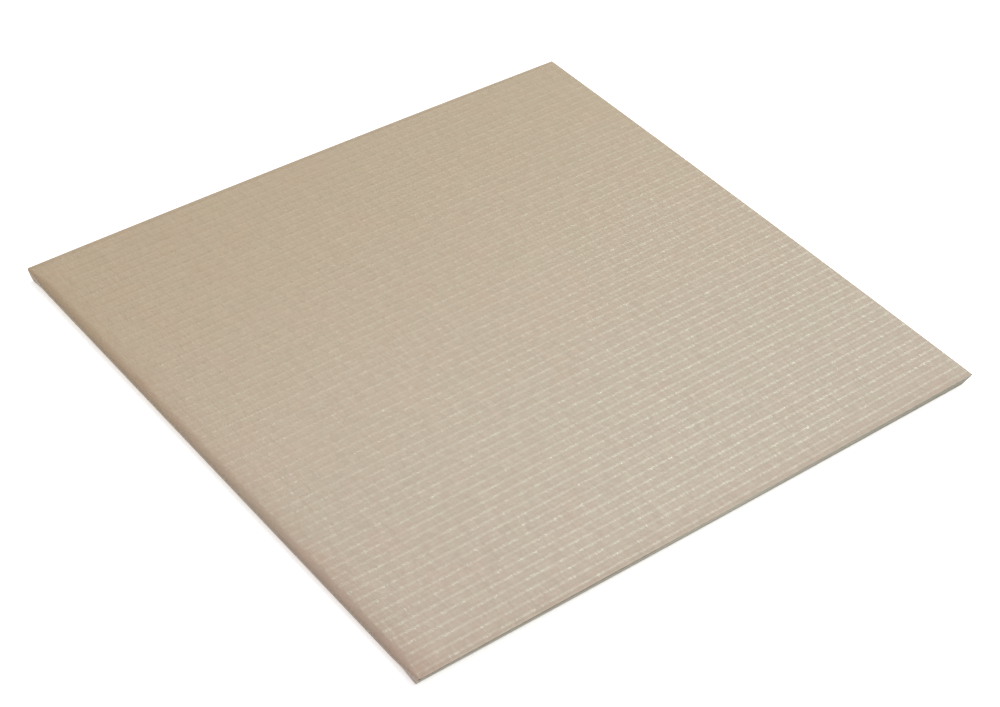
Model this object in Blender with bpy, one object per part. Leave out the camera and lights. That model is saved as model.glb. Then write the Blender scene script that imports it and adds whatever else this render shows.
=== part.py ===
"""A thin square borderless tatami mat: one woven facing folded over a board.

Metres, +Z up. The origin is at the middle of the underside. The ribs of the weave run
along X and its strands run along Y, so the facing rolls over the two sides that the
strands run beside, softly at -X and pulled tight at +X. The two sides that the strands
fold over, at -Y and +Y, have a crisp top edge.
"""
from math import cos, pi, sin

import bmesh
import bpy

# Size of the whole mat
SIDE = 0.820                   # widest width along X and along Y
THICKNESS = 0.016              # a 15 mm board and a 1 mm facing

# Rolled sides: the facing reaches out furthest at the nose and draws in below it
SOFT_REACH = 0.0105            # width of the soft roll at -X on the top face
SOFT_NOSE_HEIGHT = 0.007       # height of its nose
SOFT_UNDERCUT = 0.0050         # how far that side draws in below its nose
CORNER_REACH = 0.003           # the same three at a corner, where the facing is pulled tight
CORNER_NOSE_HEIGHT = 0.0135
CORNER_UNDERCUT = 0.0022
SOFT_EASE = 0.045              # length over which the soft roll tightens towards a corner
TIGHT_REACH = 0.003            # and the three of the tight roll at +X
TIGHT_NOSE_HEIGHT = 0.0125
TIGHT_UNDERCUT = 0.0118
ROLL_STEPS = 3                 # facets of a roll

# Crisp sides at -Y and +Y
CRISP_UNDERCUT = 0.0062        # how far they draw in from the top edge to the underside
CRISP_TAPER = 0.0014           # they draw in this much more at -X and less at +X

# How far the middle of an edge stands out from a line between its corners
NEAR_BOW = 0.001               # edge at -Y
FAR_BOW = 0.003                # edge at +Y
RIGHT_BOW = 0.002              # edge at +X

# Weave ribs, raised in the points of the top face and the rolls
RIB_PAIRS = 61                 # repeats of two columns across the mat
DEEP_VALLEY = 0.00050          # between two pairs
SHALLOW_VALLEY = 0.00025       # between the two columns of a pair
FOLD_DROP = 0.0007             # the facing dips by this much where it folds over
BOW_PANELS = 4                 # straight stretches that follow the bow of the edges

FACING_BEIGE = (0.521, 0.423, 0.319, 1.0)
FACING_ROUGHNESS = 0.72
SMOOTH_BELOW = pi / 5          # edges that turn by less than this are shaded smooth
MERGE_DISTANCE = 0.00005

COLUMN_VALLEYS = (DEEP_VALLEY, 0.0, SHALLOW_VALLEY, 0.0)


def clear_scene():
    for old in list(bpy.data.objects):
        bpy.data.objects.remove(old, do_unlink=True)


def new_collection(name):
    collection = bpy.data.collections.new(name)
    bpy.context.scene.collection.children.link(collection)
    return collection


def facing_material():
    material = bpy.data.materials.new("woven_facing")
    material.use_nodes = True
    shader = material.node_tree.nodes["Principled BSDF"]
    shader.inputs["Base Color"].default_value = FACING_BEIGE
    shader.inputs["Roughness"].default_value = FACING_ROUGHNESS
    shader.inputs["Metallic"].default_value = 0.0
    return material


def soft_shape(y):
    """Reach, nose height and undercut of the soft roll at this place along the side."""
    from_corner = SIDE / 2 - abs(y)
    ease = min(max(from_corner / SOFT_EASE, 0.0), 1.0)
    ease = ease * ease * (3 - 2 * ease)
    corner = (CORNER_REACH, CORNER_NOSE_HEIGHT, CORNER_UNDERCUT)
    middle = (SOFT_REACH, SOFT_NOSE_HEIGHT, SOFT_UNDERCUT)
    return tuple(a + (b - a) * ease for a, b in zip(corner, middle))


def rib_dip(station, stations):
    """How far the facing lies below its highest level at a station across the ribs."""
    if station in (0, stations):
        return FOLD_DROP
    return COLUMN_VALLEYS[station % len(COLUMN_VALLEYS)]


def rolled_side(reach, nose_height, undercut, dip):
    """Points (x, z) of a rolled side at +X, from the underside up to the top face."""
    half = SIDE / 2
    rise = THICKNESS - dip - nose_height
    points = [(half - undercut, 0.0)]
    for step in range(ROLL_STEPS + 1):
        turn = pi / 2 * step / ROLL_STEPS
        x = half - reach * (1 - cos(turn)) - dip * (1 - sin(turn)) * cos(turn)
        points.append((x, nose_height + rise * sin(turn)))
    return points


def section(y, dip):
    """Points (x, z) once round the mat at one station, from the underside up at -X."""
    soft = rolled_side(*soft_shape(y), dip)
    tight = rolled_side(TIGHT_REACH, TIGHT_NOSE_HEIGHT, TIGHT_UNDERCUT, dip)
    left = [(-x, z) for x, z in soft]
    right = list(reversed(tight))
    return left + between(left[-1], right[0]) + right + between(right[-1], left[0])


def between(start, end):
    """The inner points that part a straight run into its panels."""
    points = []
    for panel in range(1, BOW_PANELS):
        share = panel / BOW_PANELS
        points.append(tuple(a + (b - a) * share for a, b in zip(start, end)))
    return points


def lay(x, y, z):
    """The point moved in for the slant of the crisp sides and the bow of the edges."""
    half = SIDE / 2
    undercut = CRISP_UNDERCUT - CRISP_TAPER * x / half
    slant = undercut * max(1 - z / (THICKNESS - FOLD_DROP), 0.0)
    bow = (NEAR_BOW if y < 0 else FAR_BOW) * (x / half) ** 2
    side_bow = RIGHT_BOW * (y / half) ** 2 if x > 0 else 0.0
    return (x * (1 - side_bow / half), y * (1 - (slant + bow) / half), z)


def build_mat(collection):
    """Wraps a grid round the mat as a tube along Y, then closes its two ends."""
    stations = RIB_PAIRS * len(COLUMN_VALLEYS)
    around = len(section(0.0, 0.0))
    bm = bmesh.new()
    grid = bmesh.ops.create_grid(bm, x_segments=around, y_segments=stations, size=0.5)
    for vert in grid["verts"]:
        column = round((vert.co.x + 0.5) * around) % around
        station = round((vert.co.y + 0.5) * stations)
        y = SIDE * (station / stations - 0.5)
        x, z = section(y, rib_dip(station, stations))[column]
        vert.co = lay(x, y, z)
    bmesh.ops.remove_doubles(bm, verts=bm.verts, dist=MERGE_DISTANCE)
    bmesh.ops.holes_fill(bm, edges=[e for e in bm.edges if e.is_boundary], sides=0)
    bmesh.ops.triangulate(bm, faces=bm.faces[:])
    bmesh.ops.recalc_face_normals(bm, faces=bm.faces[:])
    mesh = bpy.data.meshes.new("mat")
    bm.to_mesh(mesh)
    bm.free()
    mesh.materials.append(facing_material())
    mesh.shade_smooth()
    mesh.set_sharp_from_angle(angle=SMOOTH_BELOW)
    mat = bpy.data.objects.new("mat", mesh)
    collection.objects.link(mat)
    return mat


def main():
    clear_scene()
    build_mat(new_collection("tatami_mat"))


main()
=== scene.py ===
# %% [markdown]
# # A straw mat, woven flat and folded over a board
# The real object is a thin square floor mat with no cloth binding. A maker weaves a
# facing from plant strands, lays it on a board, folds it down over the four sides and
# closes the underside with a plain backing. This lesson makes the mat in the same
# order: weave one float of a strand, repeat it into a flat cloth, trim the cloth, fold
# it over the board, and then finish it with a straw material.
#
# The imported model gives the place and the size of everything, so it is opened first.

from math import ceil, pi, radians

import bmesh
import bpy
import numpy as np
from mathutils import Matrix, Vector


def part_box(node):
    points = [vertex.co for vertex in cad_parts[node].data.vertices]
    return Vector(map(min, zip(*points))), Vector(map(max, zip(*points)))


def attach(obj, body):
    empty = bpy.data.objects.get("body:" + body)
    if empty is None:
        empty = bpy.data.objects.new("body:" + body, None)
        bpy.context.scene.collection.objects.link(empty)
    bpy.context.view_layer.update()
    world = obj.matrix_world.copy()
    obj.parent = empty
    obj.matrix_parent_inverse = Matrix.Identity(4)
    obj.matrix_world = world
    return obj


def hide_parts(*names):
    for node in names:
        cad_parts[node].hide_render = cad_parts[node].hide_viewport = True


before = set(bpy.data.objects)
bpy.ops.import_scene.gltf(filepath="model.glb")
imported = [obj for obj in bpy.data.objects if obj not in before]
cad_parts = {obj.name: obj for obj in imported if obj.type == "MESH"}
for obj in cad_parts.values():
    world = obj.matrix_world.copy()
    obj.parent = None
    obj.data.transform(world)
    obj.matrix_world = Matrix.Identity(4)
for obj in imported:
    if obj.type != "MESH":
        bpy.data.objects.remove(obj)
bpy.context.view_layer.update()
mat_low, mat_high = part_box("mat")
side = mat_high.x - mat_low.x
thickness = mat_high.z - mat_low.z
print(f"mat: {side * 1000:.1f} mm square, {thickness * 1000:.1f} mm thick")

# %% [markdown]
# ## The camera
# The photograph looks down on one corner of the mat from about chest height, with a
# longish lens. The place and the lens were found by laying the mat's outline on the
# photograph's. The small sideways shift is there because the picture was trimmed on one
# side. The roll is the tilt of a hand-held camera.

# %% Set up the camera
CAMERA_AT = Vector((-1.30608, -1.63311, 1.76185))
AIM_AT = Vector((0.07530, -0.10784, 0.0))
LENS_MM = 80.86
CAMERA_ROLL = radians(4.57)
TRIM_SHIFT = -0.10

camera_data = bpy.data.cameras.new("camera")
camera_data.lens = LENS_MM
camera_data.sensor_width = 36.0
camera_data.shift_x = TRIM_SHIFT
camera = bpy.data.objects.new("camera", camera_data)
bpy.context.scene.collection.objects.link(camera)
look = (AIM_AT - CAMERA_AT).to_track_quat("-Z", "Y").to_matrix().to_4x4()
camera.matrix_world = Matrix.Translation(CAMERA_AT) @ look @ Matrix.Rotation(CAMERA_ROLL, 4, "Z")
bpy.context.scene.camera = camera
print(f"camera {(AIM_AT - CAMERA_AT).length:.2f} m from the mat")

# %% [markdown]
# ## Floor and light
# The photograph has a clean white ground and almost no shadow, so the mat lies on a
# light table: a white floor that glows a little, under an even sky.
#
# The key light stands far off, behind the mat and to the right. From the camera's side
# it glances off the straw's polished backs, which is what shows the ribs on the near
# right part and leaves the far left part plain. It also leaves the rolled left edge in
# soft shade. A soft box over the front edge fills the near side.

# %% Lay the floor and hang the lights
FLOOR_SIZE = 14.0
FLOOR_DROP = 0.0003            # keeps floor and underside from touching
FLOOR_GLOW = 0.50              # a light table under the mat, as in a product studio
SKY_STRENGTH = 0.50
KEY_FROM = (0.33, 0.467, 0.82)  # the way to a lamp far off, high behind the mat
KEY_STRENGTH = 1.68
KEY_WIDTH = radians(12)        # a narrow lamp, so that its glance fades to the left
BOX_AT = (0.2, -1.5, 2.5)      # a soft box over the front edge
BOX_SIZE = 2.2
BOX_WATTS = 20.0


def hang_lamp(name, kind, place, energy):
    """A lamp at a place, turned towards the mat's middle."""
    lamp = bpy.data.lights.new(name, kind)
    lamp.energy = energy
    holder = bpy.data.objects.new(name, lamp)
    holder.location = place
    holder.rotation_euler = (-Vector(place)).to_track_quat("-Z", "Y").to_euler()
    bpy.context.scene.collection.objects.link(holder)
    return lamp


def light_scene():
    world = bpy.data.worlds.new("studio")
    world.use_nodes = True
    sky = world.node_tree.nodes["Background"]
    sky.inputs["Color"].default_value = (1.0, 1.0, 1.0, 1.0)
    sky.inputs["Strength"].default_value = SKY_STRENGTH
    bpy.context.scene.world = world
    key = hang_lamp("key_lamp", "SUN", KEY_FROM, KEY_STRENGTH)
    key.angle = KEY_WIDTH
    box = hang_lamp("front_box", "AREA", BOX_AT, BOX_WATTS)
    box.shape = "DISK"
    box.size = BOX_SIZE


def lay_floor():
    bm = bmesh.new()
    bmesh.ops.create_grid(bm, x_segments=1, y_segments=1, size=FLOOR_SIZE / 2)
    bmesh.ops.translate(bm, verts=bm.verts, vec=(0, 0, -FLOOR_DROP))
    mesh = bpy.data.meshes.new("floor")
    bm.to_mesh(mesh)
    bm.free()
    white = bpy.data.materials.new("white_floor")
    white.use_nodes = True
    shader = white.node_tree.nodes["Principled BSDF"]
    shader.inputs["Base Color"].default_value = (0.93, 0.93, 0.93, 1.0)
    shader.inputs["Roughness"].default_value = 0.9
    shader.inputs["Specular IOR Level"].default_value = 0.2
    shader.inputs["Emission Color"].default_value = (1.0, 1.0, 1.0, 1.0)
    shader.inputs["Emission Strength"].default_value = FLOOR_GLOW
    mesh.materials.append(white)
    floor = bpy.data.objects.new("floor", mesh)
    bpy.context.scene.collection.objects.link(floor)


light_scene()
lay_floor()
bpy.context.scene.view_settings.view_transform = "Standard"
print(f"floor {FLOOR_SIZE:.0f} m wide, sky {SKY_STRENGTH}, key {KEY_STRENGTH}")

# %% [markdown]
# ## How the straw is woven
# Strong warp threads lie a few millimetres apart and stay hidden. Each strand passes
# over one warp thread, dives under the next and comes up again, and its neighbours do
# the opposite. What shows is a float: a strand that is widest where it rides over a
# thread and pointed where it dives. Floats that ride over the same thread stand side by
# side and make a rib, which is the fine line that the photograph shows.
#
# So the whole cloth is a lattice. Along X it counts half floats, along Y it counts half
# the distance between two warp threads.

# %% Measure the weave
RIBS = 122                     # warp threads across the top, as in the model's own ribs
RIB_SPACING = side / RIBS
STRAND_SPACING = 0.000625      # from one strand to the next, half a float's width
HALF_RIB = RIB_SPACING / 2

# Height of the weave over the cloth's ground. Every second rib stands higher.
HIGH_CREST = 0.00047
LOW_CREST = 0.00040
SHOULDER = 0.00027             # a float half way to its point
HIGH_GAP = 0.00005
LOW_GAP = 0.00002

print(f"ribs {RIB_SPACING * 1000:.2f} mm apart, floats {RIB_SPACING * 2000:.1f} mm long"
      f" and {STRAND_SPACING * 2000:.2f} mm wide")

# %% [markdown]
# ## One float
# A float could be cut from a cylinder, but tens of thousands of them are needed, so each
# has to do with few faces. A grid of two by two squares is pinched to a point at both
# ends, which leaves four triangles round a middle point. The ridge gets one more point
# on each side, so that the float can swell like a real strand.

# %% Model one float


def model_float():
    """A flat float centred on the origin, its points ordered by where they lie."""
    bm = bmesh.new()
    bmesh.ops.create_grid(bm, x_segments=2, y_segments=2, size=1.0)
    for vert in bm.verts:
        if abs(vert.co.y) > 0.5:
            vert.co.x = 0.0
    bmesh.ops.remove_doubles(bm, verts=bm.verts, dist=0.001)
    bmesh.ops.scale(bm, vec=(STRAND_SPACING, RIB_SPACING, 1.0), verts=bm.verts)
    ridge = [e for e in bm.edges if all(abs(v.co.x) < STRAND_SPACING / 4 for v in e.verts)]
    bmesh.ops.subdivide_edges(bm, edges=ridge, cuts=1)
    bmesh.ops.triangulate(bm, faces=bm.faces[:])
    mesh = bpy.data.meshes.new("float")
    bm.to_mesh(mesh)
    bm.free()
    return mesh


float_mesh = model_float()
print(f"a float has {len(float_mesh.vertices)} points and {len(float_mesh.polygons)} faces")

# %% [markdown]
# ## From floats to flat cloth
# An Array modifier repeats the float along a strand, and a second one lays strand beside
# strand. Strands with even numbers ride over even threads and the odd ones over odd
# threads, so the cloth is two such arrays, one set off by a strand and a rib.
#
# The facing is made as five widths that lie edge to edge along a strand, because one
# mesh of the whole facing would be too heavy to handle.

# %% Weave a width of cloth
RIBS_DOWN_SIDE = 3             # ribs woven past the fold, trimmed later


def array_along(holder, count, step):
    modifier = holder.modifiers.new("repeat", "ARRAY")
    modifier.count = count
    modifier.use_relative_offset = False
    modifier.use_constant_offset = True
    modifier.constant_offset_displace = step


def weave_strands(first, last, parity):
    """All strands of one parity from number first up to last, as one flat mesh."""
    ribs_out = RIBS // 2 + RIBS_DOWN_SIDE
    first += (first - parity) % 2
    start_rib = -ribs_out + (-ribs_out - parity) % 2
    mesh = float_mesh.copy()
    mesh.transform(Matrix.Translation((first * STRAND_SPACING, start_rib * RIB_SPACING, 0)))
    holder = bpy.data.objects.new("strands", mesh)
    bpy.context.scene.collection.objects.link(holder)
    array_along(holder, (ribs_out - start_rib) // 2 + 1, (0, 2 * RIB_SPACING, 0))
    array_along(holder, (last - 1 - first) // 2 + 1, (2 * STRAND_SPACING, 0, 0))
    bpy.context.view_layer.update()
    shown = holder.evaluated_get(bpy.context.evaluated_depsgraph_get())
    woven = bpy.data.meshes.new_from_object(shown)
    bpy.data.objects.remove(holder)
    return woven


def weave_cloth(first, last):
    """A bmesh of the flat cloth between two strand numbers, its floats joined."""
    bm = bmesh.new()
    for parity in (0, 1):
        bm.from_mesh(weave_strands(first, last, parity))
    bmesh.ops.remove_doubles(bm, verts=bm.verts, dist=STRAND_SPACING / 8)
    return bm


# %% [markdown]
# ## The shape of the board
# The strands lie beside the left and right edges and roll over them. The left roll is
# soft and wide and tightens towards its corners, where the facing is pulled hard; the
# right one is tight all along. The strands run across the other two edges and break
# there, which gives a crisp fold. All four sides draw in towards the floor, and three
# edges bow out a little in the middle.
#
# A roll is a quarter of an ellipse from the top face to its nose, the point that
# reaches out furthest, and draws in below that. These are the sizes of the solid model;
# the cloth's ground lies one crest deeper, so the highest ribs touch the solid's faces.

# %% Describe the board
GROUND = thickness - 0.0004    # level of the cloth's ground on the top face
HALF_WIDTH = side / 2 - 0.0002  # how far the cloth's ground reaches out at a nose
# each roll: its reach on the top face, its nose height and how far it draws in below
SOFT_MIDDLE = (0.0105, 0.007, 0.0050)
SOFT_CORNER = (0.003, 0.0135, 0.0022)
SOFT_EASE = 0.045              # length over which the soft roll tightens towards a corner
TIGHT = (0.003, 0.0125, 0.0118)
UNDERCUT_CURVE = 1.5           # below the nose a side draws in by this power of its depth
PRESSED = 0.4                  # how much of the weave's height is left round a roll
CRISP_UNDERCUT = 0.0062        # how far the crisp sides draw in
CRISP_TAPER = 0.0014           # more at the left corners and less at the right ones
NEAR_BOW = 0.001               # how far the middle of an edge stands out
FAR_BOW = 0.003
RIGHT_BOW = 0.002
FOLD_LEVEL = GROUND - 0.0003   # the ground along the crisp folds
HEM_HEIGHT = 0.0003            # the facing ends this far over the floor


class Roll:
    """One rolled side: how the cloth goes round it and down to its hem."""

    def __init__(self, middle, corner):
        self.middle, self.corner = middle, corner
        self.strands = round(float(self.path_length(self.shape(0.0))) / STRAND_SPACING)
        stretch = self.path_length(corner) / self.strands
        self.corner_strand = round(float((HALF_WIDTH - corner[0]) / stretch))

    def shape(self, y):
        """Reach, nose height and undercut at a place along the side."""
        ease = np.clip((side / 2 - np.abs(y)) / SOFT_EASE, 0, 1)
        ease = ease * ease * (3 - 2 * ease)
        return tuple(a + (b - a) * ease for a, b in zip(self.corner, self.middle))

    def turn_length(self, reach, rise):
        """Length of the quarter ellipse that the cloth follows round the edge."""
        mean = np.sqrt((3 * reach + rise) * (reach + 3 * rise))
        return pi / 4 * (3 * (reach + rise) - mean)

    def path_length(self, shape):
        """Length of cloth from the middle of the mat to the hem of this side."""
        reach, nose, undercut = shape
        return HALF_WIDTH - reach + self.turn_length(reach, GROUND - nose) + np.hypot(nose, undercut)

    def lay_cloth(self, strand, y):
        """Place and normal in X and Z of a strand, and how much of its height is left."""
        reach, nose, undercut = self.shape(y)
        rise = GROUND - nose
        round_edge = self.turn_length(reach, rise)
        path = strand * self.path_length(self.shape(y)) / self.strands - (HALF_WIDTH - reach)
        turn = np.clip(path / round_edge, 0, 1) * pi / 2
        down = np.clip((path - round_edge) / np.hypot(nose, undercut), 0, 1)
        x = HALF_WIDTH - reach + np.minimum(path, 0) + reach * np.sin(turn)
        x = x - undercut * down ** UNDERCUT_CURVE
        z = nose + rise * np.cos(turn)
        z = np.where(down > 0, nose + (HEM_HEIGHT - nose) * down, z)
        normal = np.stack([np.sin(turn) / reach, np.cos(turn) / rise], 1)
        normal = np.where((down > 0)[:, None], self.low_normal(down, nose, undercut), normal)
        pressed = 1 - (1 - PRESSED) * np.clip(turn / (pi / 6), 0, 1)
        return x, z, normal, pressed

    def low_normal(self, down, nose, undercut):
        """Normal below the nose, for a depth of 0 at the nose to 1 at the hem."""
        slope = undercut * UNDERCUT_CURVE * down ** (UNDERCUT_CURVE - 1)
        return np.stack([nose + 0 * down, -slope], 1)

    def corner_at(self, level):
        """Where the section at a corner lies at a height, and its normal."""
        reach, nose, undercut = self.corner
        turn = np.clip((level - nose) / (GROUND - nose), 0, 1)
        down = np.clip(1 - level / nose, 0, 1)
        out = np.sqrt(1 - turn * turn)
        x = HALF_WIDTH - reach * (1 - out) - undercut * down ** UNDERCUT_CURVE
        normal = np.stack([out / reach, turn / (GROUND - nose)], 1)
        return x, np.where((level > nose)[:, None], normal, self.low_normal(down, nose, undercut))


soft_roll = Roll(SOFT_MIDDLE, SOFT_CORNER)
tight_roll = Roll(TIGHT, TIGHT)
CRISP_SIDE = float(np.hypot(FOLD_LEVEL - HEM_HEIGHT, CRISP_UNDERCUT))
FOLD_ROW = RIBS                # the crisp folds, counted in half ribs
HEM_LINE = FOLD_ROW * HALF_RIB + CRISP_SIDE
print(f"flat facing {(soft_roll.strands + tight_roll.strands) * STRAND_SPACING * 1000:.1f} by"
      f" {2 * HEM_LINE * 1000:.1f} mm")

# %% [markdown]
# ## Give the strands their height
# The flat lattice gets its relief here. Every point knows from its place what it is: a
# crest where a float rides over a thread, a shoulder half way down, or a gap where other
# strands dive. Plant strands are never even, so each strand has its own fullness and
# every point wanders a little. The random numbers come from one fixed seed and are
# looked up by place on the lattice, so neighbouring widths agree where they meet.

# %% Raise the relief
rng = np.random.default_rng(11)
LATTICE = 2000
strand_fullness = rng.normal(0.0, 1.0, LATTICE)
strand_tone = rng.random(LATTICE)
float_tone = rng.random((LATTICE, 200))
float_shine = rng.random((LATTICE, 200))
wander = rng.normal(0.0, 1.0, (LATTICE, 400))
lift_noise = rng.normal(0.0, 1.0, (LATTICE, 400))
SIDEWAYS_WANDER = 0.00006      # how far a point strays to the side
LIFT_WANDER = 0.000022         # and up or down
FULLNESS_SHARE = 0.10          # how much lower a thin strand lies


def lattice_of(points):
    """Strand number and half rib number of flat points."""
    strand = np.rint(points[:, 0] / STRAND_SPACING).astype(int)
    row = np.rint(points[:, 1] / HALF_RIB).astype(int)
    return strand, row


def rib_of_float(strand, along):
    """Number of the rib that a strand's float rides over, for a place counted in ribs."""
    parity = strand % 2
    return (2 * np.rint((along - parity) / 2) + parity).astype(int)


def is_gap(strand, row):
    """True where a point lies between floats, on a warp thread's line."""
    return (row % 2 == 0) & ((row // 2 - strand) % 2 == 1)


def raise_relief(points):
    strand, row = lattice_of(points)
    high_rib = (row // 2) % 2 == 0
    crest = np.where(high_rib, HIGH_CREST, LOW_CREST) - 2.5 * LIFT_WANDER
    gap = np.where(high_rib, HIGH_GAP, LOW_GAP)
    lift = np.where(row % 2 == 1, SHOULDER, np.where(is_gap(strand, row), gap, crest))
    full = 1 + FULLNESS_SHARE * np.clip(strand_fullness[strand], -2, 0.5)
    lift = lift * np.where(is_gap(strand, row), 1.0, full)
    lift = lift + LIFT_WANDER * np.clip(lift_noise[strand, row], -2, 2)
    edges = (-soft_roll.strands, -soft_roll.corner_strand, tight_roll.corner_strand, tight_roll.strands)
    free = ~np.isin(strand, edges)
    points[:, 0] += SIDEWAYS_WANDER * np.clip(wander[strand, row], -2, 2) * free
    points[:, 2] = np.maximum(lift, 0.0)
    return points


# %% [markdown]
# ## Trim the flat cloth
# A maker cuts the facing to the board plus the height of its sides, and cuts a square
# out of each corner, so that the sides meet in a neat upright edge and nothing bunches.

# %% Trim it


def in_cut_corner(strand, row):
    """True past a crisp fold and beyond the strand where a rolled side begins."""
    rolled = (strand > tight_roll.corner_strand) | (strand < -soft_roll.corner_strand)
    return rolled & (np.abs(row) > FOLD_ROW)


def trim(bm):
    corner = []
    for face in bm.faces:
        middle = face.calc_center_median()
        if in_cut_corner(middle.x / STRAND_SPACING, middle.y / HALF_RIB):
            corner.append(face)
    bmesh.ops.delete(bm, geom=corner, context="FACES")
    for way in (-1, 1):
        everything = bm.verts[:] + bm.edges[:] + bm.faces[:]
        bmesh.ops.bisect_plane(bm, geom=everything, plane_co=(0, way * HEM_LINE, 0),
                               plane_no=(0, way, 0), clear_outer=True, dist=0.00001)


# %% [markdown]
# ## Fold it over the board
# The fold takes each flat point to its place on the board: along the top, round the
# roll, down the rolled side, or over the crisp edge and down. It also works out which
# way the surface faces there, and the point is then moved out by its height. Doing this
# as a formula keeps every strand's length true, which a cloth simulation of so fine a
# weave could not.

# %% Fold function
UP = np.array([[0.0, 0.0, 1.0]])


def unit(vectors):
    return vectors / np.maximum(np.linalg.norm(vectors, axis=1), 1e-9)[:, None]


def in_space(x_and_z):
    """A normal in X and Z as one in X, Y and Z."""
    return unit(np.insert(x_and_z, 1, 0.0, axis=1))


def lean_in(x, y, z):
    """Moves points in for the slant of the crisp sides and the bow of the edges."""
    across, along = x / (side / 2), y / (side / 2)
    undercut = CRISP_UNDERCUT - CRISP_TAPER * across
    slant = undercut * np.maximum(1 - z / FOLD_LEVEL, 0)
    bow = np.where(y < 0, NEAR_BOW, FAR_BOW) * across * across
    right_bow = np.where(x > 0, RIGHT_BOW, 0) * along * along
    return x * (1 - right_bow / (side / 2)), y * (1 - (slant + bow) / (side / 2)), z


def fold_over(flat):
    """Takes flat points (across, along, height) to their places on the board."""
    strand, row = flat[:, 0] / STRAND_SPACING, flat[:, 1] / HALF_RIB
    x_way, y_way = np.sign(flat[:, 0]), np.sign(flat[:, 1])
    y = np.minimum(np.abs(row), FOLD_ROW) / FOLD_ROW * HALF_WIDTH
    past = np.clip((np.abs(flat[:, 1]) - FOLD_ROW * HALF_RIB) / CRISP_SIDE, 0, 1)
    level = FOLD_LEVEL + (HEM_HEIGHT - FOLD_LEVEL) * past
    placed = np.zeros_like(flat)
    normal = np.zeros_like(flat)
    height = flat[:, 2].copy()
    facing = unit(np.array([[0.0, FOLD_LEVEL, -CRISP_UNDERCUT]]))
    for roll, way in ((soft_roll, -1), (tight_roll, 1)):
        here = (x_way == way) | ((x_way == 0) & (way == 1))
        out, r, l = np.abs(strand[here]), np.abs(row[here]), level[here]
        x, z, over, pressed = roll.lay_cloth(out, y[here])
        round_roll = in_space(over)
        edge_x, edge_normal = roll.corner_at(l)
        on_side = r > FOLD_ROW + 0.25
        on_fold = (np.abs(r - FOLD_ROW) <= 0.25) & (out < roll.corner_strand + 0.5)
        x = np.where(on_side, out / roll.corner_strand * edge_x, x)
        z = np.where(on_side, l, np.where(on_fold, np.minimum(z, FOLD_LEVEL), z))
        over = np.where(on_side[:, None], facing, round_roll)
        over = np.where(on_fold[:, None], unit(facing + UP), over)
        # the upright corners, where a rolled and a crisp side meet
        rolled_end = (np.abs(r - FOLD_ROW) <= 0.25) & (out > roll.corner_strand - 0.5)
        crisp_end = on_side & (np.abs(out - roll.corner_strand) < 0.5)
        around = np.where(rolled_end[:, None], round_roll, in_space(edge_normal))
        corner = rolled_end | crisp_end
        over = np.where(corner[:, None], unit(around + facing), over)
        height[here] = np.where(corner, HIGH_CREST / 2, height[here] * pressed)
        placed[here] = np.stack([x, y[here], z], 1)
        normal[here] = over
    placed *= np.stack([np.where(x_way == 0, 1, x_way), y_way, np.ones_like(y)], 1)
    normal *= np.stack([np.where(x_way == 0, 1, x_way), y_way, np.ones_like(y)], 1)
    placed = np.stack(lean_in(*placed.T), 1)
    return placed + normal * height[:, None]


# %% [markdown]
# ## Keep what the material needs
# The straw material has to follow the strands round the edges, so it can't read plain
# coordinates. What it needs is stored on the mesh before the fold: a UV map in metres of
# flat cloth, where the gaps and the crests are, and a tone and a polish for each float.
#
# Use changes straw in ways that show: the higher ribs are rubbed to a shine and the two
# front edges are duller than the middle. The soft roll is painted darker down by its hem,
# which is painted shade.
# A second UV map spreads each width over a full picture, for anyone who bakes it.

# %% Store the maps


LOW_POLISH = 0.45              # the lower ribs get less wear than the higher ones
SHOULDER_CREST = 0.46          # how much of a float's crest is left half way to its point
EDGE_DULLING = 0.045           # the straw is duller this close to the two front edges
LEFT_EDGE_SHINE = 0.62         # share of the shine left at the soft roll
NEAR_EDGE_SHINE = 0.85         # and at the near fold
ROLL_SHADE_BAND = (0.018, 0.010)        # painted shade on the soft roll, from here to here above its hem


def add_map(mesh, name, flat, low, size):
    layer = mesh.uv_layers.new(name=name, do_init=False)
    corners = np.zeros(len(mesh.loops), np.int32)
    mesh.loops.foreach_get("vertex_index", corners)
    place = (flat[corners, :2] - low) / size
    layer.uv.foreach_set("vector", place.astype(np.float32).ravel())


def add_values(mesh, name, domain, values):
    stored = mesh.attributes.new(name, "FLOAT", domain)
    stored.data.foreach_set("value", values.astype(np.float32))


def points_of(mesh):
    points = np.zeros(len(mesh.vertices) * 3, np.float32)
    mesh.vertices.foreach_get("co", points)
    return points.reshape(-1, 3).astype(float)


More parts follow.
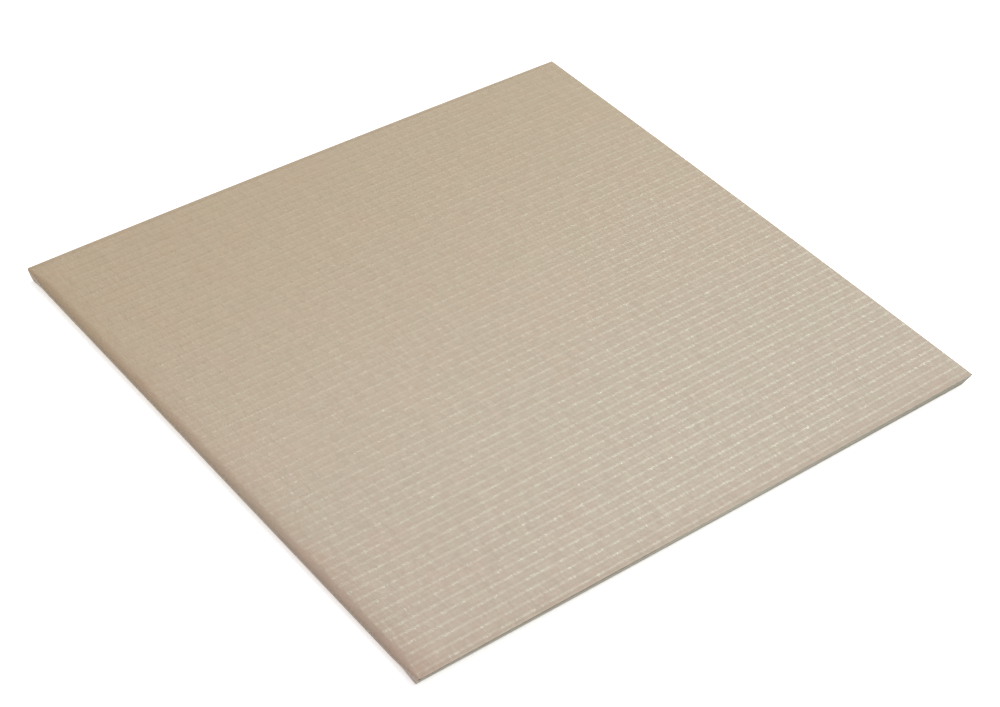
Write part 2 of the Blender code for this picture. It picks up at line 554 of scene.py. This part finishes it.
def store_maps(mesh, flat):
    low, high = flat[:, :2].min(0), flat[:, :2].max(0)
    add_map(mesh, "cloth", flat, np.zeros(2), np.ones(2))
    add_map(mesh, "OFBake", flat, low, high - low)
    strand, row = lattice_of(flat)
    # the gaps, for the painted shade in them
    add_values(mesh, "gap_shade_mask", "POINT", is_gap(strand, row))
    crest = np.where(row % 2 == 0, 1.0, SHOULDER_CREST)
    add_values(mesh, "crest", "POINT", np.where(is_gap(strand, row), 0.0, crest))
    middles = np.zeros(len(mesh.polygons) * 3, np.float32)
    mesh.polygons.foreach_get("center", middles)
    middles = middles.reshape(-1, 3)
    strand = np.rint(middles[:, 0] / STRAND_SPACING).astype(int)
    rib = rib_of_float(strand, middles[:, 1] / RIB_SPACING)
    polish = np.where(rib % 2 == 0, 1.0, LOW_POLISH) * (0.6 + 0.8 * float_shine[strand, rib])
    add_values(mesh, "polish", "FACE", polish)
    inside = np.clip((HALF_WIDTH + middles[:, :2]) / EDGE_DULLING, 0, 1)
    inside = inside * inside * (3 - 2 * inside)
    at_edge = np.array([LEFT_EDGE_SHINE, NEAR_EDGE_SHINE])
    add_values(mesh, "wear", "FACE", (at_edge + (1 - at_edge) * inside).prod(1))
    # painted shade down the soft roll towards its hem
    from_hem = middles[:, 0] + soft_roll.strands * STRAND_SPACING
    roll_shade = np.clip((ROLL_SHADE_BAND[0] - from_hem) / (ROLL_SHADE_BAND[0] - ROLL_SHADE_BAND[1]), 0, 1)
    add_values(mesh, "roll_shade", "FACE", roll_shade)
    add_values(mesh, "tone", "FACE", (strand_tone[strand] + float_tone[strand, rib]) / 2)
    # the crisp sides, for their painted shade
    add_values(mesh, "side", "FACE", np.abs(middles[:, 1]) > FOLD_ROW * HALF_RIB)


def sharpen_gaps(mesh, flat):
    """Marks the edges between floats and along the folds sharp; a float's ridge stays smooth."""
    strand, row = lattice_of(flat)
    low_point, on_fold = is_gap(strand, row), np.abs(row) == FOLD_ROW
    ends = np.zeros(len(mesh.edges) * 2, np.int32)
    mesh.edges.foreach_get("vertices", ends)
    a, b = ends.reshape(-1, 2).T
    sharp = mesh.attributes.get("sharp_edge") or mesh.attributes.new("sharp_edge", "BOOLEAN", "EDGE")
    sharp.data.foreach_set("value", (low_point[a] & low_point[b]) | (on_fold[a] & on_fold[b]))


# %% [markdown]
# ## The straw material
# Up close the strands run from cream on their backs, through straw, to brown in the gaps
# where they dive; the cream is partly a painted highlight and the brown partly painted
# shade. From a step away that averages to a warm beige. Lengthwise fibres give each
# strand a fine grain and groups of strands differ a little in tone. The whole mat is
# painted whiter near the front, a painted sheen, and yellower and darker at the far side.
# It is painted darker and pinker at the near left corner, which is painted shade. The
# folded sides are painted a darker grey green: painted shade with a grey green cast.
#
# The pale lines of the ribs are not colour but gloss. A shader's highlight grows much
# faster than its roughness falls, so the material counts in shine, which is one over
# the roughness squared, and turns that into roughness as its last step.
#
# First come a few helpers, so that the material itself reads as a list of steps.

# %% Material helpers


class Graph:
    """A small helper that adds nodes to a material and joins them."""

    def __init__(self, name):
        self.material = bpy.data.materials.new(name)
        self.material.use_nodes = True
        self.tree = self.material.node_tree
        self.shader = self.tree.nodes["Principled BSDF"]

    def node(self, kind, settings=(), **inputs):
        made = self.tree.nodes.new(kind)
        for name, value in dict(settings).items():
            setattr(made, name, value)
        for name, value in inputs.items():
            self.set(made, name.replace("_", " "), value)
        return made

    def set(self, made, name, value):
        socket = made.inputs[int(name)] if name.isdigit() else made.inputs[name]
        if isinstance(value, bpy.types.NodeSocket):
            self.tree.links.new(value, socket)
        else:
            socket.default_value = value

    def math(self, operation, *values):
        made = self.node("ShaderNodeMath", {"operation": operation})
        for place, value in enumerate(values):
            self.set(made, str(place), value)
        return made.outputs[0]

    def mix(self, share, first, second, blend="MIX"):
        made = self.node("ShaderNodeMix", {"data_type": "RGBA", "blend_type": blend})
        self.set(made, "0", share)
        self.set(made, "6", first)
        self.set(made, "7", second)
        return made.outputs[2]

    def remap(self, value, low, high, to_low=0.0, to_high=1.0):
        made = self.node("ShaderNodeMapRange", {"interpolation_type": "SMOOTHSTEP"})
        for place, number in enumerate((value, low, high, to_low, to_high)):
            self.set(made, str(place), number)
        return made.outputs[0]

    def ramp(self, value, stops):
        made = self.node("ShaderNodeValToRGB")
        while len(made.color_ramp.elements) < len(stops):
            made.color_ramp.elements.new(0.5)
        for element, (place, colour) in zip(made.color_ramp.elements, stops):
            element.position = place
            element.color = (*colour, 1.0)
        self.set(made, "0", value)
        return made.outputs[0]

    def noise(self, vector, scale, detail=2.0):
        """Noise with its own scale along each axis, in features per metre."""
        mapped = self.node("ShaderNodeMapping", Vector=vector, Scale=scale)
        made = self.node("ShaderNodeTexNoise", Scale=1.0, Detail=detail)
        self.set(made, "Vector", mapped.outputs[0])
        return made.outputs[0]

    def attribute(self, name):
        return self.node("ShaderNodeAttribute", {"attribute_name": name}).outputs["Fac"]


# %% [markdown]
# ## Mix the straw
# The colour is built from the strand outwards: gap to back, with painted shade in the gaps
# and a painted highlight on the backs, then the tone of the strand and its handful, then
# fibres, the painted shade by the soft roll's hem and patches, and last the painted sheen
# and shade that drift slowly over the mat.

# %% Mix the straw
# straw colours: the brown in the gaps is partly painted shade, the cream on the backs partly a painted
# highlight
GAP_SHADE_BROWN = (0.192, 0.124, 0.083)
STRAW = (0.435, 0.320, 0.238)
BACK_HIGHLIGHT_CREAM = (0.533, 0.409, 0.319)
SHINE_OF_STRAW = 2.5           # dull between the ribs
SHINE_OF_CREST = 8.8           # added on the rubbed crests
NEAR_SHEEN_TINT = (1.0, 1.0, 1.06)   # whiter at the front: a painted sheen
FAR_SHEENLESS_TINT = (0.95, 0.875, 0.76)  # yellower and darker at the back, without the painted sheen
CORNER_SHADE_TINT = (0.94, 0.885, 0.88)  # darker and pinker at the near left corner: painted shade
CORNER_SHADE_SPREAD = 0.45           # how far from that corner the painted shade reaches
ROLL_SHADE_LEVEL = 0.8               # share of the straw's colour left under the painted shade by the roll's hem
# painted shade on the crisp sides, with a grey green cast
SIDE_SHADE_GREY_GREEN = (0.27, 0.26, 0.20)
SIDE_SHADE_SHARE = 0.7               # how far the crisp sides are painted towards that darker colour


def straw_material():
    g = Graph("woven_straw")
    cloth = g.node("ShaderNodeUVMap", {"uv_map": "cloth"}).outputs[0]
    place = g.node("ShaderNodeTexCoord").outputs["Object"]
    # painted shade in the gaps and a painted highlight on the backs, over the straw's colour
    gap_shade_mask = g.attribute("gap_shade_mask")
    colour = g.ramp(gap_shade_mask, ((0.0, BACK_HIGHLIGHT_CREAM), (0.45, STRAW), (0.75, STRAW), (1.0, GAP_SHADE_BROWN)))
    # each strand, and each handful of strands, has its own tone
    tone = g.remap(g.attribute("tone"), 0.0, 1.0, 0.96, 1.04)
    bundle = g.remap(g.noise(cloth, (130.0, 28.0, 1.0), 3.0), 0.3, 0.7, 0.975, 1.025)
    value = g.math("MULTIPLY", tone, bundle)
    fibre = g.noise(cloth, (9000.0, 260.0, 1.0), 2.0)
    value = g.math("MULTIPLY", value, g.remap(fibre, 0.3, 0.7, 0.93, 1.06))
    # painted shade down the soft roll towards its hem
    value = g.math("MULTIPLY", value, g.remap(g.attribute("roll_shade"), 0.0, 1.0, 1.0, ROLL_SHADE_LEVEL))
    grey = g.node("ShaderNodeCombineXYZ")
    for axis in ("X", "Y", "Z"):
        g.set(grey, axis, value)
    colour = g.mix(1.0, colour, grey.outputs[0], "MULTIPLY")
    # soft patches of pink and green, a hand's breadth and less
    patch = g.noise(place, (26.0, 26.0, 26.0), 3.0)
    pink = g.mix(1.0, colour, (1.02, 0.975, 0.965, 1.0), "MULTIPLY")
    green = g.mix(1.0, colour, (0.98, 1.01, 0.98, 1.0), "MULTIPLY")
    colour = g.mix(g.remap(patch, 0.50, 0.70, 0.0, 0.6), colour, pink)
    colour = g.mix(g.remap(patch, 0.50, 0.30, 0.0, 0.6), colour, green)
    # painted sheen, whiter at the front edge and yellower and darker towards the back one
    across = g.node("ShaderNodeSeparateXYZ")
    g.set(across, "0", place)
    sheen_drift = g.remap(across.outputs["Y"], -0.41, 0.41)
    sheen_tint = g.mix(sheen_drift, (*NEAR_SHEEN_TINT, 1.0), (*FAR_SHEENLESS_TINT, 1.0))
    colour = g.mix(1.0, colour, sheen_tint, "MULTIPLY")
    # painted shade, darker and pinker towards the near left corner
    away = g.node("ShaderNodeVectorMath", {"operation": "DISTANCE"})
    g.set(away, "0", place)
    g.set(away, "1", (-side / 2, -side / 2, 0.0))
    corner = g.mix(1.0, colour, (*CORNER_SHADE_TINT, 1.0), "MULTIPLY")
    colour = g.mix(g.remap(away.outputs["Value"], CORNER_SHADE_SPREAD, 0.0), colour, corner)
    # the crisp sides, painted a darker grey green: painted shade with a grey green cast
    side_shade = g.math("MULTIPLY", g.attribute("side"), SIDE_SHADE_SHARE)
    colour = g.mix(side_shade, colour, (*SIDE_SHADE_GREY_GREEN, 1.0))
    g.set(g.shader, "Base Color", colour)
    # the polished crests shine, in patches; the power makes shine grow evenly with polish
    patchy = g.remap(g.noise(cloth, (150.0, 60.0, 1.0), 2.0), 0.35, 0.65, 0.7, 1.3)
    polish = g.math("MULTIPLY", g.attribute("polish"), patchy)
    polish = g.math("MULTIPLY", polish, g.remap(g.attribute("crest"), 0.0, 1.0))
    shine = g.math("MULTIPLY_ADD", polish, SHINE_OF_CREST, SHINE_OF_STRAW)
    shine = g.math("MULTIPLY", shine, g.attribute("wear"))
    g.set(g.shader, "Roughness", g.math("POWER", shine, -0.5))
    g.shader.inputs["Specular IOR Level"].default_value = 1.0
    g.shader.inputs["Specular Tint"].default_value = (0.78, 1.0, 0.84, 1.0)
    g.shader.inputs["Sheen Weight"].default_value = 0.05
    g.shader.inputs["Sheen Roughness"].default_value = 0.5
    bump = g.node("ShaderNodeBump", Strength=0.35, Distance=0.00006, Height=fibre)
    g.set(g.shader, "Normal", bump.outputs[0])
    return g.material


straw = straw_material()
print(f"{straw.name}: {len(straw.node_tree.nodes)} nodes")

# %% [markdown]
# ## Make the five widths
# Everything comes together here. Each width is woven, raised, trimmed, mapped and
# folded, and it stands for the solid model's own block.

# %% Weave, trim and fold the facing
WIDTHS = 5


def make_width(number, first, last):
    bm = weave_cloth(first, last)
    mesh = bpy.data.meshes.new(f"facing_{number}")
    bm.to_mesh(mesh)
    bm.free()
    raised = raise_relief(points_of(mesh))
    mesh.vertices.foreach_set("co", raised.astype(np.float32).ravel())
    bm = bmesh.new()
    bm.from_mesh(mesh)
    trim(bm)
    bmesh.ops.recalc_face_normals(bm, faces=bm.faces[:])
    bm.to_mesh(mesh)
    bm.free()
    flat = points_of(mesh)
    store_maps(mesh, flat)
    sharpen_gaps(mesh, flat)
    mesh.vertices.foreach_set("co", fold_over(flat).astype(np.float32).ravel())
    mesh.update()
    mesh.materials.append(straw)
    mesh.polygons.foreach_set("use_smooth", np.ones(len(mesh.polygons), bool))
    width = bpy.data.objects.new(f"facing_{number}", mesh)
    bpy.context.scene.collection.objects.link(width)
    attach(width, "root")
    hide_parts("mat")
    return width


facing = []
first_strand, end_strand = 1 - soft_roll.strands, tight_roll.strands
per_width = ceil((end_strand - first_strand) / WIDTHS)
for number in range(WIDTHS):
    first = first_strand + number * per_width
    facing.append(make_width(number + 1, first, min(first + per_width, end_strand)))
for width in facing:
    print(f"{width.name}: {len(width.data.polygons)} faces, {width.dimensions.x * 1000:.0f} mm wide")

# %% [markdown]
# ## The backing
# The underside is hidden in the photograph. A plain felt backing closes it, as on any
# such mat: a thin square with rounded corners, a hair inside the hem of the facing. A
# cube is flattened and its edges are bevelled, which is quicker than drawing an outline.

# %% Close the underside
BACKING_THICKNESS = 0.0008
BACKING_INSET = 0.0010         # from the hem of the facing
BACKING_CORNER = 0.003


def felt_material():
    g = Graph("backing_felt")
    place = g.node("ShaderNodeTexCoord").outputs["Object"]
    fluff = g.noise(place, (900.0, 900.0, 900.0), 4.0)
    cloud = g.noise(place, (25.0, 25.0, 25.0), 2.0)
    shade = g.math("ADD", g.math("MULTIPLY", fluff, 0.7), g.math("MULTIPLY", cloud, 0.3))
    g.set(g.shader, "Base Color", g.ramp(shade, ((0.3, (0.17, 0.16, 0.13)), (0.7, (0.30, 0.28, 0.24)))))
    g.shader.inputs["Roughness"].default_value = 0.95
    g.shader.inputs["Sheen Weight"].default_value = 0.2
    bump = g.node("ShaderNodeBump", Strength=0.6, Distance=0.0002, Height=fluff)
    g.set(g.shader, "Normal", bump.outputs[0])
    return g.material


def make_backing():
    left = -HALF_WIDTH + SOFT_MIDDLE[2] + BACKING_INSET
    right = HALF_WIDTH - TIGHT[2] - RIGHT_BOW - BACKING_INSET
    near = -HALF_WIDTH + CRISP_UNDERCUT + CRISP_TAPER + NEAR_BOW + BACKING_INSET
    far = HALF_WIDTH - CRISP_UNDERCUT - CRISP_TAPER - FAR_BOW - BACKING_INSET
    size = (right - left, far - near)
    middle = ((left + right) / 2, (near + far) / 2, BACKING_THICKNESS / 2)
    bm = bmesh.new()
    bmesh.ops.create_cube(bm, size=1.0)
    bmesh.ops.scale(bm, vec=(*size, BACKING_THICKNESS), verts=bm.verts)
    bmesh.ops.translate(bm, vec=middle, verts=bm.verts)
    upright = [e for e in bm.edges if abs(e.verts[0].co.z - e.verts[1].co.z) > BACKING_THICKNESS / 2]
    bmesh.ops.bevel(bm, geom=upright, offset=BACKING_CORNER, affect="EDGES", segments=4,
                    profile=0.5, material=-1)
    rim = [e for e in bm.edges if e.calc_face_angle(0.0) > radians(60)]
    bmesh.ops.bevel(bm, geom=rim, offset=BACKING_THICKNESS / 4, affect="EDGES", segments=2,
                    profile=0.5, material=-1)
    bmesh.ops.recalc_face_normals(bm, faces=bm.faces[:])
    mesh = bpy.data.meshes.new("backing")
    bm.to_mesh(mesh)
    bm.free()
    mesh.materials.append(felt_material())
    mesh.shade_smooth()
    mesh.set_sharp_from_angle(angle=radians(40))
    backing = bpy.data.objects.new("backing", mesh)
    bpy.context.scene.collection.objects.link(backing)
    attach(backing, "root")
    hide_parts("mat")
    return backing


backing = make_backing()
print(f"backing {backing.dimensions.x * 1000:.0f} by {backing.dimensions.y * 1000:.0f} mm")
